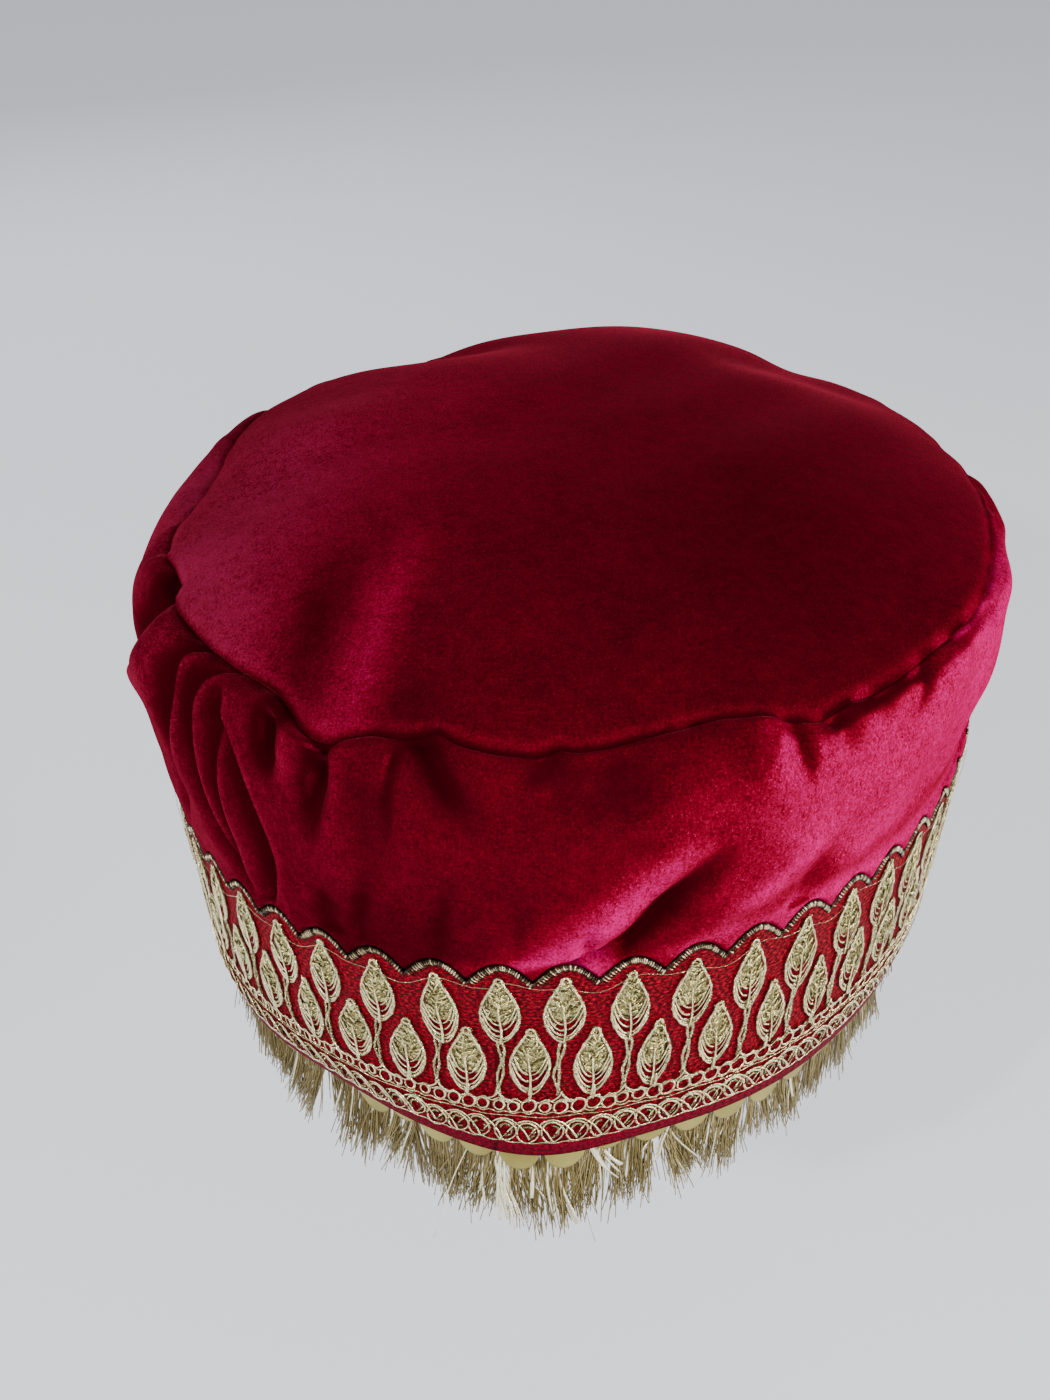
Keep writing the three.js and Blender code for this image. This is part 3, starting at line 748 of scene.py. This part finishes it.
# painted shade along the seam under the top panel, weaker at the front left
dark = side["dark"] * np.exp(-((1 - height) / side["darkWide"]) ** 2)
tone = tone - dark[:, None] * (1 - 0.6 * bell(azimuth, -35, 8))[None]
tone = np.concatenate([tone, np.full(inner.shape[:2], insideTone)])
rings = np.concatenate([outer, inner])
uv = np.stack(np.broadcast_arrays(azimuth[None] * 1.6, np.arange(len(rings))[:, None] * 0.8), -1)
crownSide = finishPiece(wallObject("crownSide", rings, uv, tone), velvet, "velvet", "crown_side")
print("side panel made")

# band: the ribbon
s = np.arange(band["columns"]) * girth / band["columns"] + band["first"]
y, back = (share[:, None] * (scallopTop(s)[None] - band["edge"])
           for share in (np.linspace(0, 1, band["rows"]), np.array([1.0, 0.5, 0.0])))
rings = np.concatenate([onBand(s[None], y), onBand(s[None], back, -band["wall"])])
uv = np.stack([np.broadcast_to(s[None], rings.shape[:2]), np.concatenate([y, back])], -1)
ribbon = finishPiece(wallObject("ribbonBand", rings, uv), redTrim, "red_trim", "embroidered_band")
print("ribbon made")

# leaves: two staggered rows; lengths and heights above the lower edge in millimetres
leaf = dict(width=6.6, upperTip=34.3, upperLength=13.0, lowerTip=23.7, lowerLength=12.3,
            strand=0.2, turn=1.1, chips=44)

# half width along a leaf, from its base to a small knob at its tip
leafShape = np.array([
    [0, 0], [0.02, 0.3], [0.08, 0.6], [0.17, 0.83], [0.28, 0.96], [0.38, 1], [0.48, 0.97], [0.58, 0.86],
    [0.68, 0.69], [0.78, 0.48], [0.87, 0.29], [0.92, 0.19], [0.96, 0.2], [0.99, 0.12], [1, 0],
])


# a leaf's half width by the distance along it, between the rows of its shape
def leafHalf(v):
    return np.interp(v, *leafShape.T)


# even steps along a path
def resample(path, count):
    length = walked(path)
    want = np.linspace(0, length[-1], count)
    return np.stack([np.interp(want, length, path[:, k]) for k in (0, 1)], -1)


rowLeaves = np.arange(scallops) * pitch + band["first"]
leafS = np.concatenate([rowLeaves, rowLeaves + pitch / 2])
many = len(leafS)
leafTip = np.repeat([leaf["upperTip"], leaf["lowerTip"]], scallops) + random.normal(0, 0.25, many)
leafLength = np.repeat([leaf["upperLength"], leaf["lowerLength"]], scallops) * (1 + random.normal(0, 0.025, many))
leafWidth = leaf["width"] * (1 + random.normal(0, 0.05, many))
leafTurn = random.normal(0, 0.05, many)
leafTone = random.normal(0, 0.05, (many, 1))


# places points given across a leaf, in half widths, and along it, in lengths, on every leaf of the band
def onLeaves(u, v):
    across = leafWidth[:, None] / 2 * u
    along = leafLength[:, None] * (v - 1)
    turn = leafTurn[:, None]
    return leafS[:, None] + across - along * turn, leafTip[:, None] + along + across * turn * 0.5


q = np.linspace(0, 1, 1200)
halfOutline = np.stack([leafHalf(q) * leaf["width"] / 2, q * leaf["upperLength"]], -1)
outline = resample(np.concatenate([halfOutline, halfOutline[::-1] * [-1, 1]]), 72)
s, y = onLeaves(outline[:, 0] / (leaf["width"] / 2), outline[:, 1] / leaf["upperLength"])
parts = twisted(s, y, 0.5, leaf["strand"], leaf["turn"], tone=random.uniform(0.5, 1.2, s.shape))
t = np.linspace(0, 1, 9)
s, y = onLeaves(0.06 * np.sin(t * 5)[None], (-0.05 + 0.6 * t)[None])
parts.append(tubes(*drawn(s, y, 0.85), 0.26 * (1 - 0.4 * t)[None], tone=0.85))

# open veins below: strands that leave the stem sideways and rise to the outline
for sign in (-1, 1):
    for first, end, radius in ((-0.03, 0.27, 0.2), (0.06, 0.38, 0.2), (0.15, 0.48, 0.18), (0.25, 0.56, 0.17)):
        t = np.linspace(0, 1, 8)
        v = first + (end - first) * t ** 1.9 + random.normal(0, 0.012, (many, 1))
        u = sign * 0.95 * leafHalf(np.array(end)) * t ** 0.75 + 0 * v
        s, y = onLeaves(u, v)
        parts.append(tubes(*drawn(s, y, 0.62), radius, tone=0.82 + leafTone))
finishPiece(joinParts("leafOutlines", parts), metalThread, "gold_thread")

# the leaf's fill: a raised pad, with short uneven chips of purl over it
u, v = np.meshgrid(np.linspace(-0.9, 0.9, 7), np.linspace(0.3, 0.95, 8))
s, y = onLeaves((u * leafHalf(v)).ravel()[None], v.ravel()[None])
lift = (0.15 + 0.42 * (1 - (u / 0.9) ** 2)).ravel()[None]
pad = onBand(s, y, lift)
cell = np.arange(u.size).reshape(u.shape)
padQuads = np.stack([cell[:-1, :-1], cell[:-1, 1:], cell[1:, 1:], cell[1:, :-1]], -1).reshape(-1, 4)
padQuads = (padQuads[None] + (np.arange(many) * u.size)[:, None, None]).reshape(-1, 4)
parts = [dict(points=pad.reshape(-1, 3), quads=padQuads, tris=noTris, tone=np.full(many * u.size, 0.36))]
t = np.linspace(-1, 1, 3)
for root in np.tile(np.linspace(0.3, 0.92, leaf["chips"] // 2), 2):
    v = root + random.normal(0, 0.03, (many, 1))
    u = random.uniform(-0.8, 0.8, (many, 1))
    slant = np.radians(45) * np.sign(u) + random.normal(0, 0.5, (many, 1))
    s, y = onLeaves(u * leafHalf(v) + 0.22 * np.cos(slant) * np.sign(u) * t, v + 0.05 * np.abs(np.sin(slant)) * t)
    lift = 0.3 + 0.42 * (1 - u ** 2) - 0.14 * t ** 2 + random.normal(0, 0.06, (many, 1))
    parts.append(tubes(*drawn(s, y, lift), 0.18, sides=4, tone=random.uniform(0.2, 1.08, (many, 1))))
finishPiece(joinParts("leafFill", parts), fillThread, "gold_thread")
print("leaves made")

# stems, ring chain, loop chain and the lines between them
stem = dict(top=22.0, bottom=10.6, gap=0.38, strand=0.21, turn=1.4, lowTop=12.6, lowBottom=10.0)
chain = dict(ringY=8.85, ringWide=1.2, ringHigh=1.12, rings=scallops * 4, rail=1.2, line=6.85,
             loopY=4.25, loops=127, loopHigh=1.95, ovalWide=0.46, ovalHigh=1.755, ovalY=4.15, coil=0.6)
parts = []
t = np.linspace(0, 1, 26)
sway = random.normal(0, 0.5, (scallops, 1))
for sign in (-1, 1):
    bend = sign * (0.14 + stem["gap"] * np.sin(2.2 * np.pi * t + 0.4) ** 2) + 0.25 * np.sin(6 * t)
    s = rowLeaves[:, None] + bend[None] + sway * np.sin(np.pi * t)[None]
    y = np.broadcast_to(stem["top"] + (stem["bottom"] - stem["top"]) * t, s.shape)
    parts += twisted(s, y, 0.45, stem["strand"], stem["turn"], tone=0.55)
lowStem = leafS[scallops:, None] + 0.2 * np.sin(4 * t[::5])[None]
y = np.broadcast_to(stem["lowTop"] + (stem["lowBottom"] - stem["lowTop"]) * t[::5], lowStem.shape)
parts.append(tubes(*drawn(lowStem, y, 0.7), 0.34, sides=4, tone=0.7))
around = np.linspace(0, tau, 12, endpoint=False)
count = chain["rings"]
ringSize = 1 + random.normal(0, 0.1, (count, 1))
ringS = (np.arange(count) * girth / count)[:, None] + random.normal(0, 0.18, (count, 1)) + band["first"]
s = ringS + ringSize * (chain["ringWide"] * np.cos(around)[None] + 0.3 * np.sin(around)[None])
y = chain["ringY"] + random.normal(0, 0.15, (count, 1)) + ringSize * chain["ringHigh"] * np.sin(around)[None]
parts.append(tubes(*drawn(s, y, 0.45 + 0.25 * np.cos(around)[None]), 0.24, closed=True, tone=0.85))
walk = np.arange(scallops * 20) * girth / (scallops * 20) + band["first"]
for base, swing, waves, radius, tone, raised in (
    (chain["ringY"] + chain["rail"], 0.34, 4, 0.2, 0.85, 0.7),
    (chain["ringY"] - chain["rail"], 0.2, 4, 0.18, 0.7, 0.5),
    (chain["line"], 0.14, 1, 0.13, 0.8, 0.35),
    (chain["loopY"] - chain["loopHigh"], 0.1, 3, 0.18, 0.7, 0.35),
):
    y = base + swing * np.sin(tau * waves * walk / pitch + base)[None]
    parts.append(tubes(*drawn(walk[None], y, raised), radius, closed=True, tone=tone))
t = np.linspace(0, 1, 9)
rail = chain["ringY"] + chain["rail"]
for sign in (-1, 1):
    s = rowLeaves[:, None] + sign * 2.7 * (1 - t)[None] ** 1.4
    y = rail + (stem["bottom"] + chain["rail"] - rail) * t[None] ** 2.2 + 0 * s
    parts.append(tubes(*drawn(s, y, 0.75), 0.2, tone=0.85))
step = girth / chain["loops"]
loopS = np.arange(chain["loops"])[:, None] * step + random.normal(0, 0.15, (chain["loops"], 1))
wobble = random.normal(0, 0.14, (chain["loops"], 1))
t = np.linspace(-1, 1, 11)
y = chain["loopY"] + 2.15 - 3.3 * t[None] ** 2 + wobble
parts.append(tubes(*drawn(loopS + step * t[None], y, 0.6 + 0.3 * t[None]), 0.22, tone=0.92))


# an oval of each loop: its width times a cosine and its height times a sine
def loopOval(size, angle):
    s = loopS + size * chain["ovalWide"] * step * np.cos(angle)
    return s, chain["ovalY"] + wobble + size * chain["ovalHigh"] * np.sin(angle)


around = np.linspace(0, tau, 14, endpoint=False)[None]
s, y = loopOval(1.0, around)
parts.append(tubes(*drawn(s, y, 0.45 + 0.2 * np.sin(around * 2)), 0.22, closed=True, tone=0.85))
spin = random.uniform(0, tau, (chain["loops"], 1))
s, y = loopOval(chain["coil"], np.linspace(0.3, 5.2, 8)[None] + spin)
parts.append(tubes(*drawn(s, y, 0.32), 0.26, tone=0.4))
finishPiece(joinParts("chainEmbroidery", parts), metalThread, "gold_thread")
print("chains made")

# a thin red stitch along the loops
y = chain["loopY"] - 0.3 + 0.2 * np.sin(tau * 3 * walk / pitch)[None]
stitch = tubes(*drawn(walk[None], y, 0.85), 0.1, closed=True)
finishPiece(joinParts("redStitch", [stitch]), redTrim, "red_trim")

# purl edging: short strands laid across the scalloped edge, over a core
purl = dict(wraps=scallops * 27, wide=1.35, high=0.55, strand=0.16)
s0 = (np.arange(purl["wraps"]) + 0.5) * girth / purl["wraps"]
slope = (scallopTop(s0 + 0.05) - scallopTop(s0 - 0.05)) / 0.1
tilt = np.arctan(np.clip(slope, -1.1, 1.1))
a = np.linspace(0.15, np.pi - 0.1, 5)
inwards = purl["wide"] * (0.5 - 0.5 * np.cos(a))
s = s0[:, None] + np.sin(tilt)[:, None] * inwards[None] + 0.5 * (a / np.pi)[None]
y = scallopTop(s0)[:, None] + 0.15 - np.cos(tilt)[:, None] * inwards[None]
lift = -0.1 + purl["high"] * np.sin(a)[None]
# each wrap gets a painted highlight on its raised middle and painted shade at its ends, plus a random tone
wrapHighlightAndTone = np.array([0.0, 0.3, 0.72, 0.2, 0.0]) + random.uniform(-0.5, 0.38, (purl["wraps"], 1))
parts = [tubes(*drawn(s, y, lift), purl["strand"], tone=wrapHighlightAndTone)]
sCore = np.arange(scallops * 28) * girth / (scallops * 28)
core = drawn(sCore[None], scallopTop(sCore)[None] - 0.55, 0.0)
parts.append(tubes(*core, 0.42, sides=4, closed=True, tone=0.0))
finishPiece(joinParts("purlEdging", parts), edgeThread, "gold_thread")
print("edging made")

# a loose thread that runs from leaf to leaf
walkFine = np.arange(scallops * 12) * girth / (scallops * 12)
y = 32.6 + 0.9 * np.sin(tau * walkFine / pitch * 0.5 + 1) + 0.5 * np.sin(tau * walkFine / pitch + 2)
loose = tubes(*drawn(walkFine[None], y[None], 1.1), 0.05, closed=True, tone=0.8)
finishPiece(joinParts("looseThread", [loose]), metalThread, "gold_thread")


# the way out of the band at its lower edge
def edgeNormal(s):
    return unit(onBand(s, 0.0, 1.0) - onBand(s, 0.0, 0.0))


# what hangs under the band: straight along its slope to the discs' ends, then upright with a flare
def hanging(s, z, inset, out, aside):
    low = onBand(s, 0.0, -inset)
    slope = (onBand(s, 5.0, -inset) - low) / 5.0
    past = np.maximum(-z - disc["end"], 0)
    tangent = unit(onBand(s + 0.5, 0.0) - onBand(s - 0.5, 0.0))
    point = low + slope * (z + past)[..., None] + edgeNormal(s) * out[..., None] + tangent * aside[..., None]
    point[..., 2] -= past
    return point


# discs: thin, a little dished, each turned slightly from its neighbours
disc = dict(count=64, radius=4.0, wall=0.22, drop=-0.1, end=5.3, inset=2.35, corners=24, first=2.5)
angle = np.arange(disc["corners"]) * tau / disc["corners"]
ringShare = np.array([0.12, 0.9, 1.0, 1.0, 0.9, 0.12])
ringDepth = np.array([0.16, 0.1, 0.05, -0.05, -0.1, -0.06])
discS = np.arange(disc["count"]) * girth / disc["count"] + disc["first"]
turnIn = 0.02 * np.sin(np.arange(disc["count"]) * 2.9)
sag = random.normal(0, 0.9, disc["count"])
for place, fall in ((girth - 31, 3.6), (girth - 22, 1.2), (2.5, 1.2)):
    sag = sag - fall * np.exp(-((discS - place) / 3.5) ** 2)
su = disc["radius"] * ringShare[:, None] * np.cos(angle)[None]
zu = disc["radius"] * ringShare[:, None] * np.sin(angle)[None]
depth = np.broadcast_to(disc["wall"] * ringDepth[:, None] / ringDepth[0], su.shape)
sGrid = discS[:, None, None] + 0 * su[None]
z = -disc["drop"] + sag[:, None, None] + zu[None]
points = hanging(sGrid, z, disc["inset"], depth[None] + turnIn[:, None, None] * su[None], su[None] + 0 * sGrid)
quads, tris = stackFaces(*points.shape[:3])
discs = meshObject("paillettes", points.reshape(-1, 3), quads[:, [0, 3, 2, 1]], tris[:, [0, 2, 1]])
finishPiece(discs, goldDisc, "gold_disc", "disc_row")
print("discs made")

# fringe: fine strands in uneven locks, bright tufts, and two long loose threads
fringe = dict(strands=7000, bright=90, length=14.0, spread=3.2, shortest=7, longest=19,
              start=3.0, inset=3.4, locks=1.57, gather=0.5)
tufts = table("s wide count length lean", [
    [-5, 0.6, 4, 12, -0.8], [-2.6, 0.9, 9, 16, 4.3], [-1.5, 0.9, 6, 11, 3], [8, 0.9, 8, 13.5, 3.6],
    [5, 0.6, 4, 8, -1], [15.5, 0.9, 6, 7, 8], [34, 0.9, 6, 7, -5.5], [-28, 1.6, 4, 12, 0],
    [-42, 1.2, 4, 14, 0], [52, 3, 5, 10, 1], [63, 3, 4, 9, 0],
])
longThreads = table("root aside bend drop fall radius tone", [
    [-4, -10, 0.8, -24.5, 1.5, 0.1, 0.9],
    [14, 3, 2, -21.5, 1, 0.075, 0.3],
])
tapeCorners = ((1.5, 3.2), (5.0, 3.2), (5.0, 4.4), (1.5, 4.4))


# each strand falls from its root, leans with its lock and bends out past the discs
def strands(root, length, radius, tone, points, wander, flare, swing=0.0, flat=1.0):
    count = len(root)
    t = np.linspace(0, 1, points)[None]
    place = (root + 2.2 * np.sin(root * 0.37) + 1.4 * np.sin(root * 0.83 + 1)) / pitch * fringe["locks"]
    lock = np.floor(place)
    pull = fringe["gather"] * (lock + 0.5 - place)[:, None] * pitch / fringe["locks"]
    pull = pull * (0.7 + 0.5 * np.sin(lock * 5.1))[:, None]
    size = length + fringe["spread"] * np.sin(lock * 2.4) * 0.5 + random.normal(0, fringe["spread"] * 0.55, count)
    size = np.clip(size, fringe["shortest"], fringe["longest"])[:, None]
    lean = swing + 2.2 * np.sin(lock * 1.7 + 1)[:, None] + random.normal(0, wander, (count, 1))
    apart = np.abs((root + girth / 2) % girth - girth / 2 + 8)
    flare = flare * (1 - 0.9 * smooth(apart, 30, 62) * (1 - smooth(apart, 150, 190)))
    out = (flare * (1.0 + 0.8 * np.sin(lock * 3.3)))[:, None] + random.normal(0, 0.8, (count, 1))
    out = np.maximum(out, -0.8)
    z = fringe["start"] - (size + fringe["start"]) * t
    past = np.clip((-z - 3.5) / 12, 0, 2)
    inset = fringe["inset"] + random.random((count, 1)) * 0.9
    s = root[:, None] + 0 * t
    curl, turns = random.normal(0, 0.9, (count, 1)), random.uniform(2, 6, (count, 1))
    aside = lean * t ** 1.8 + pull * t ** 1.3 + curl * np.sin(turns * t) * np.minimum(past, 1)
    path = hanging(s, z, inset, out * past ** 1.6, aside)
    shade = tone[0] + (tone[1] - tone[0]) * random.random((count, 1))
    sides = 3 if flat == 1 else 4
    return tubes(path, edgeNormal(s), radius * (1 - 0.4 * t), sides, tone=shade, flat=flat)


parts = [strands(random.random(fringe["strands"]) * girth, fringe["length"], radius=0.16, tone=(0.04, 0.38),
                 points=5, wander=1.3, flare=1.8)]
bright = [strands(random.random(fringe["bright"]) * girth, fringe["length"], radius=0.3, tone=(0.6, 1.0),
                  points=9, wander=2.4, flare=2.6, flat=0.3)]
for tuft in tufts:
    root = tuft["s"] + random.normal(0, tuft["wide"] * 0.6, int(tuft["count"]))
    radius = random.uniform(0.28, 0.6, (len(root), 1))
    bright.append(strands(root, tuft["length"], radius, tone=(0.7, 1.05), points=12, wander=1.9, flare=3.2,
                          swing=tuft["lean"], flat=0.25))
t = np.linspace(0, 1, 16)[None]
for long in longThreads:
    s = long["root"] + 0 * t
    z = 1.0 + (long["drop"] - 1.0) * t ** long["fall"]
    path = hanging(s, z, 3.6, 3.5 * t, long["aside"] * t ** long["bend"])
    bright.append(tubes(path, edgeNormal(s), long["radius"], tone=long["tone"]))
tapeS = np.arange(scallops * 6) * girth / (scallops * 6)
tape = np.concatenate([onBand(tapeS, rise, -inset) for rise, inset in tapeCorners])
tapeQuads = ringQuads(len(tapeCorners), len(tapeS), True)
parts.append(dict(points=tape, quads=tapeQuads, tris=noTris, tone=np.full(len(tape), 0.2)))
finishPiece(joinParts("fringe", parts), fringeThread, "gold_thread", "thread_fringe")
finishPiece(joinParts("tinsel", bright), tinselThread, "gold_thread")
print("fringe made")

# studio: a pale floor, a bright light from the right, soft light from the left and small lights for the glints
studio = dict(floor=-0.15, half=2.5)
corners = [(x * studio["half"], y * studio["half"], studio["floor"]) for x, y in ((-1, -1), (1, -1), (1, 1), (-1, 1))]
floorMesh = bpy.data.meshes.new("floor")
floorMesh.from_pydata(corners, [], [(0, 1, 2, 3)])
floor = added("floor", floorMesh)
floorMaterial, maker, shader = newMaterial("floor")
link(shader, Base_Color=(0.80, 0.81, 0.83), Roughness=0.9, Emission_Color=(0.85, 0.9, 1.0), Emission_Strength=0.42)
floorMesh.materials.append(floorMaterial)


# a round light that looks from its place to its aim, in metres and watts
def areaLight(name, place, aim, size, power, colour):
    light = bpy.data.lights.new(name, "AREA")
    light.shape = "DISK"
    light.size = size
    light.energy = power
    light.color = colour
    ahead = unit(np.array(aim, float) - np.array(place, float))
    right = unit(np.cross(ahead, [0, 0, 1.0]))
    up = np.cross(right, ahead)
    added(name, light).matrix_world = placed(right, up, -ahead, place)


areaLight("key", (0.91, -0.28, 0.31), (0.02, 0, 0.05), 0.34, 11.0, (1.0, 0.97, 0.95))
areaLight("fill", (-0.85, -0.5, 0.45), (0, 0, 0.05), 0.6, 4.4, (0.86, 0.88, 1.0))
areaLight("glint", (-0.25, -0.85, 0.6), (0, 0, 0.02), 0.05, 4.8, (1.0, 0.98, 0.94))
areaLight("glintLow", (0.4, -0.85, 0.2), (0, 0, 0.02), 0.05, 1.8, (1.0, 0.98, 0.94))
areaLight("glintLeft", (-0.75, -0.5, 0.25), (0, 0, 0.02), 0.05, 1.8, (1.0, 0.98, 0.96))
areaLight("rear", (-0.5, 0.9, 0.5), (0, 0, 0.06), 0.6, 3.0, (0.9, 0.94, 1.0))
world = bpy.data.worlds.new("studio")
world.use_nodes = True
background = world.node_tree.nodes["Background"].inputs
background["Color"].default_value = (0.80, 0.82, 0.86, 1)
background["Strength"].default_value = 0.3
bpy.context.scene.world = world
print("studio set")
